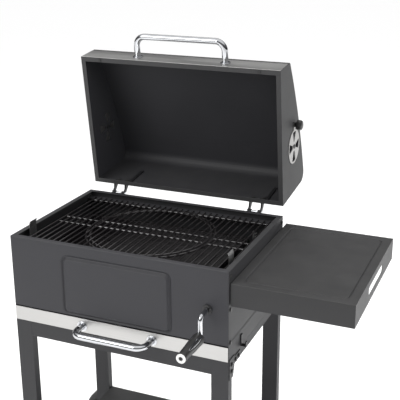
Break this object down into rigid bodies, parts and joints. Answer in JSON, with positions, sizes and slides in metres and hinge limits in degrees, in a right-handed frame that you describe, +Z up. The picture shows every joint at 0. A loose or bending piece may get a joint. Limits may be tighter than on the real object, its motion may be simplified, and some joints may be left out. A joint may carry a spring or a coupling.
{
  "type": "barrel charcoal grill",
  "caption": "Barrel charcoal grill on a wheeled stand, with a hinged lid, round grate insert, crank-lifted charcoal pan, ash drawer and side table.",
  "frame": {"origin": "middle of the bounding box at the floor, with the lid open at its stop", "axes": "+Z up, -Y towards the cook at the front, +X towards the side table"},
  "size_m": [0.9534, 0.76, 1.3176],
  "materials": {
    "coat_front": "textured anthracite powder coat",
    "coat_side": "textured anthracite powder coat",
    "coat_table": "satin anthracite powder coat",
    "enamel": "black heat-proof enamel",
    "steel": "brushed stainless steel",
    "chrome": "bright chrome plating",
    "zinc": "zinc-plated steel",
    "black_steel": "black powder coat",
    "screw_black": "blackened steel",
    "knob": "moulded black phenolic",
    "grip": "fluted black plastic",
    "cap_white": "pale moulded cap",
    "plastic": "black moulded plastic",
    "rubber": "black silicone rubber",
    "wheel": "black moulded wheel"
  },
  "bodies": {
    "frame": {"front_panel": "coat_front", "rear_panel": "coat_front", "left_wall": "coat_side", "right_wall": "coat_side", "grate_ledges": "coat_side", "lid_guide_tabs": "zinc", "tool_hook": "black_steel", "firebox_screws": "screw_black", "drawer_runners": "zinc", "lift_guides": "zinc", "crank_bushes": "plastic", "crank_rosette": "steel", "firebox_hinge_leaves": "black_steel", "firebox_hinge_bolts": "screw_black", "hinge_pins": "zinc", "side_table": "coat_table", "table_hangers": "black_steel", "table_screws": "screw_black", "leg_front_left": "coat_front", "leg_front_right": "coat_front", "leg_rear_left": "coat_front", "leg_rear_right": "coat_front", "stand_rails": "coat_front", "side_rails": "coat_side", "corner_gussets": "black_steel", "gusset_screws": "screw_black", "leg_caps": "plastic", "lower_shelf": "coat_table", "wheel_axle": "zinc"},
    "lid": {"lid_shell": "coat_front", "lid_side_left": "coat_side", "lid_side_right": "coat_side", "lid_trim_strip": "steel", "lid_handle": "chrome", "lid_handle_flanges": "chrome", "lid_bumpers": "rubber", "lid_hinge_leaves": "black_steel", "lid_hinge_straps": "black_steel", "lid_hinge_bolts": "screw_black", "vent_rivets": "screw_black"},
    "left_vent": {"vent_disc_left": "steel", "vent_knob_left": "knob"},
    "right_vent": {"vent_disc_right": "steel", "vent_knob_right": "knob"},
    "grate": {"main_grate": "enamel"},
    "insert": {"grate_insert": "enamel"},
    "pan": {"charcoal_pan": "enamel"},
    "lift": {"lift_cradle": "zinc", "lift_racks": "zinc"},
    "crank": {"crank_rod": "chrome", "lift_pinions": "zinc", "crank_end_cap": "cap_white"},
    "crank_handle": {"crank_grip": "grip", "crank_grip_inlays": "chrome"},
    "drawer": {"ash_drawer": "enamel", "drawer_front": "steel", "drawer_handle": "chrome", "drawer_handle_flanges": "chrome"},
    "front_wheel": {"wheel_front": "wheel"},
    "rear_wheel": {"wheel_rear": "wheel"}
  },
  "joints": [
    {"name": "lid_hinge", "type": "hinge", "parent": "frame", "child": "lid", "pos_m": [-0.11925, 0.18828, 0.841], "axis": [-1, 0, 0], "range_deg": [-83, 0]},
    {"name": "left_vent_turn", "type": "hinge", "parent": "lid", "child": "left_vent", "pos_m": [-0.41325, 0.27585, 1.01396], "axis": [-1, 0, 0], "range_deg": [0, 45]},
    {"name": "right_vent_turn", "type": "hinge", "parent": "lid", "child": "right_vent", "pos_m": [0.17475, 0.27585, 1.01396], "axis": [1, 0, 0], "range_deg": [0, 45]},
    {"name": "crank_turn", "type": "hinge", "parent": "frame", "child": "crank", "pos_m": [0.12775, -0.02572, 0.742], "axis": [0, 1, 0], "range_deg": [-171, 57]},
    {"name": "grip_spin", "type": "hinge", "parent": "crank", "child": "crank_handle", "pos_m": [0.12775, -0.02572, 0.692], "axis": [0, 1, 0], "continuous": true},
    {"name": "lift_slide", "type": "slide", "parent": "frame", "child": "lift", "axis": [0, 0, 1], "range_m": [-0.045, 0.015]},
    {"name": "grate_lift_off", "type": "slide", "parent": "frame", "child": "grate", "axis": [0, 0, 1], "range_m": [0, 0.18]},
    {"name": "insert_lift_off", "type": "slide", "parent": "grate", "child": "insert", "axis": [0, 0, 1], "range_m": [0, 0.12]},
    {"name": "pan_lift_off", "type": "slide", "parent": "lift", "child": "pan", "axis": [0, 0, 1], "range_m": [0, 0.18]},
    {"name": "drawer_slide", "type": "slide", "parent": "frame", "child": "drawer", "axis": [0, -1, 0], "range_m": [0, 0.28]},
    {"name": "front_wheel_spin", "type": "hinge", "parent": "frame", "child": "front_wheel", "pos_m": [-0.39675, -0.24772, 0.08], "axis": [0, 1, 0], "continuous": true},
    {"name": "rear_wheel_spin", "type": "hinge", "parent": "frame", "child": "rear_wheel", "pos_m": [-0.39675, 0.19628, 0.08], "axis": [0, 1, 0], "continuous": true}
  ],
  "couplings": [
    {"joint": "lift_slide", "follows": "crank_turn", "m_per_rad": 0.015},
    {"joint": "pan_lift_off", "follows": "grate_lift_off", "ratio": 1}
  ]
}
